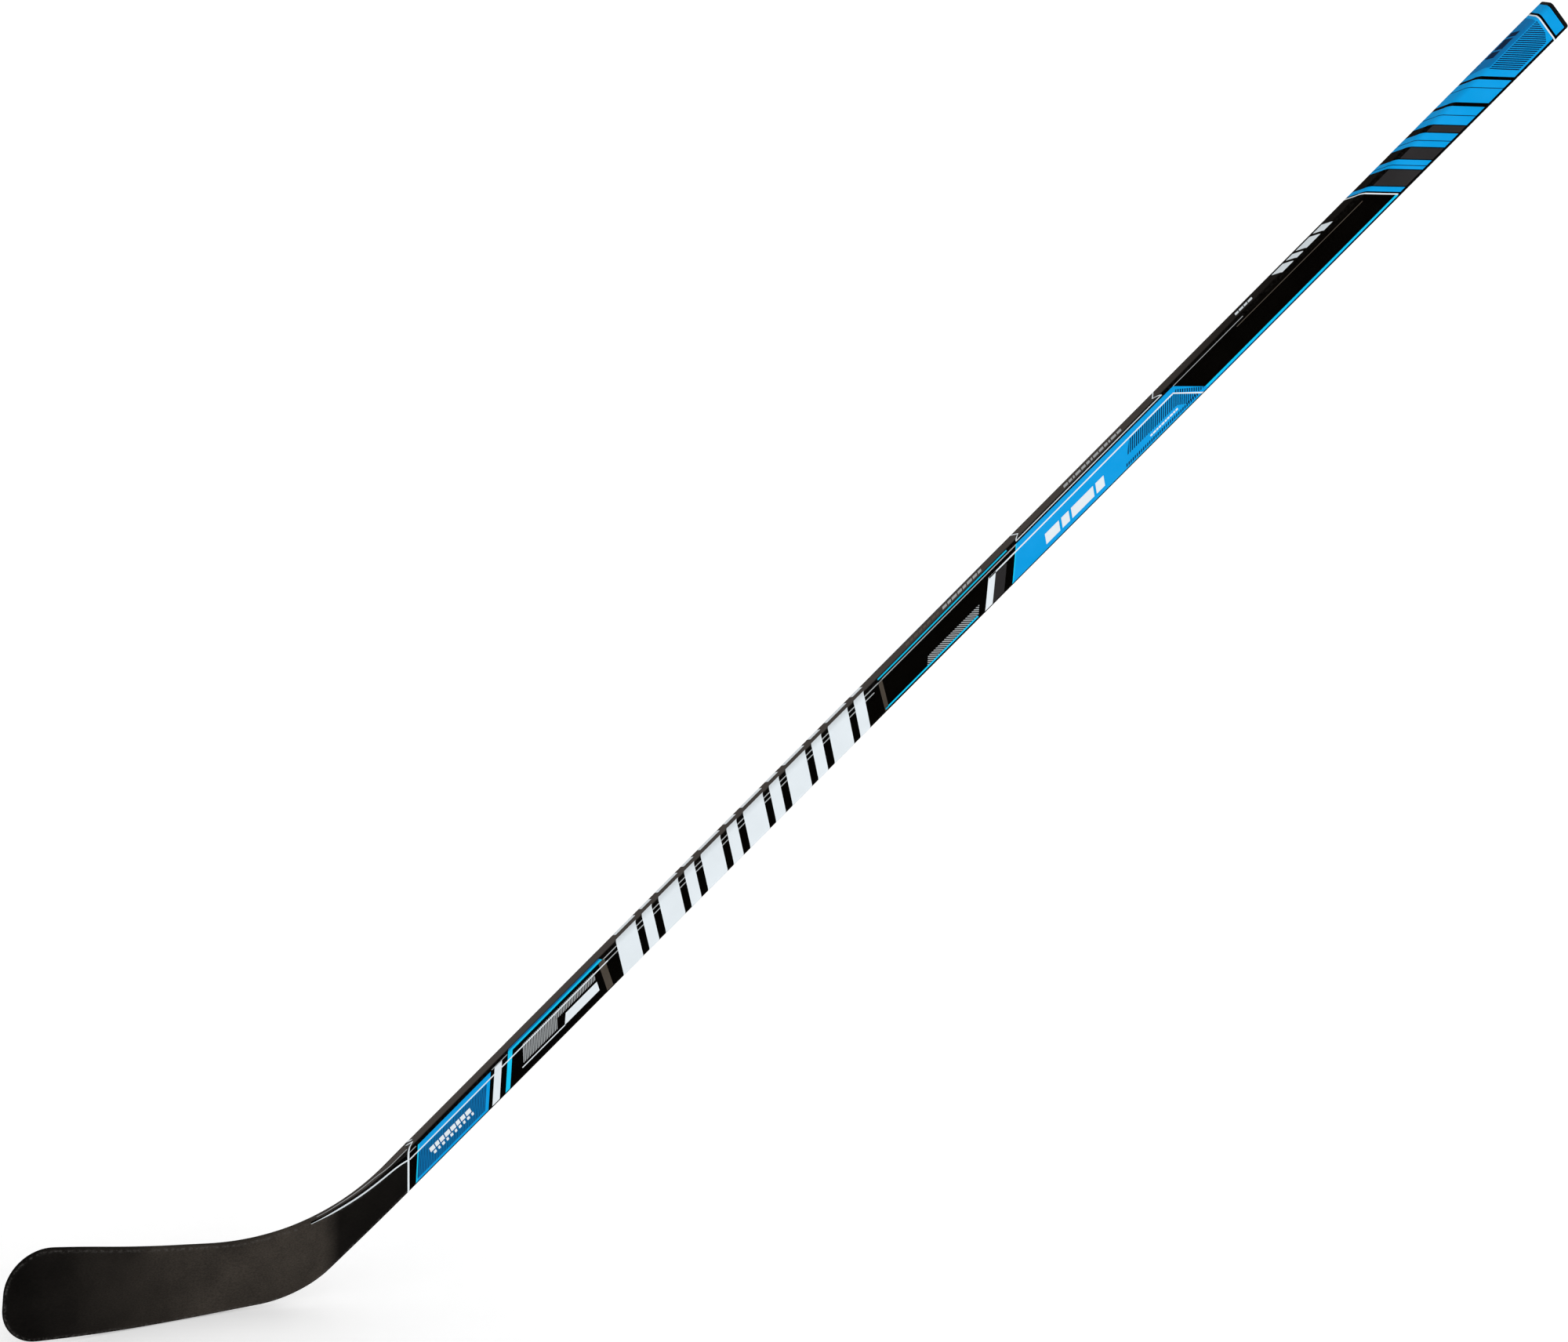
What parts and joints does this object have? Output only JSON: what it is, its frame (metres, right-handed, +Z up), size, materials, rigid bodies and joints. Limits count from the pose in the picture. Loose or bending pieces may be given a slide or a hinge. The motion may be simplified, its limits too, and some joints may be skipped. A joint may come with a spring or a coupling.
{
  "type": "ice hockey stick",
  "caption": "Ice hockey stick: straight hollow rectangular shaft with a pull-out butt plug, fused by a tenon to a curved composite blade with a round toe.",
  "frame": {"origin": "on the ice, under the middle of the stick's bounding box as it stands on its blade", "axes": "+Z up from the ice; +X the side the shaft leans to, the toe points to -X; -Y the forehand (hollow) side of the blade"},
  "size_m": [1.3156, 0.0564, 1.1684],
  "materials": {
    "gloss_carbon": "clear gloss over black carbon laminate",
    "matt_carbon": "matt, finely grained black laminate",
    "plug_rubber": "matt black moulded rubber",
    "pale_foam": "closed-cell foam, inside only",
    "grey_resin": "cured resin, inside only",
    "hot_melt_glue": "amber hot-melt adhesive, inside only",
    "white_print": "white print under clear gloss",
    "blue_print": "mid blue print under clear gloss",
    "cyan_print": "light blue print under clear gloss",
    "navy_print": "dark blue print under clear gloss",
    "grey_print": "dark grey print under clear gloss",
    "black_print": "black print under clear gloss"
  },
  "bodies": {
    "stick": {"shaft_tube": "gloss_carbon", "seam_filler": "white_print", "tenon_glue": "hot_melt_glue", "shaft_foam_dam": "pale_foam", "blade_hosel": "grey_resin", "blade_front_skin": "matt_carbon", "blade_back_skin": "matt_carbon", "blade_core_lower": "pale_foam", "blade_core_bridge": "grey_resin", "blade_core_upper": "pale_foam"},
    "butt_plug": {"butt_plug": "plug_rubber"}
  },
  "joints": [
    {"name": "butt_plug_pull", "type": "slide", "parent": "stick", "child": "butt_plug", "axis": [0.682, 0, 0.7314], "range_m": [0, 0.06]}
  ]
}
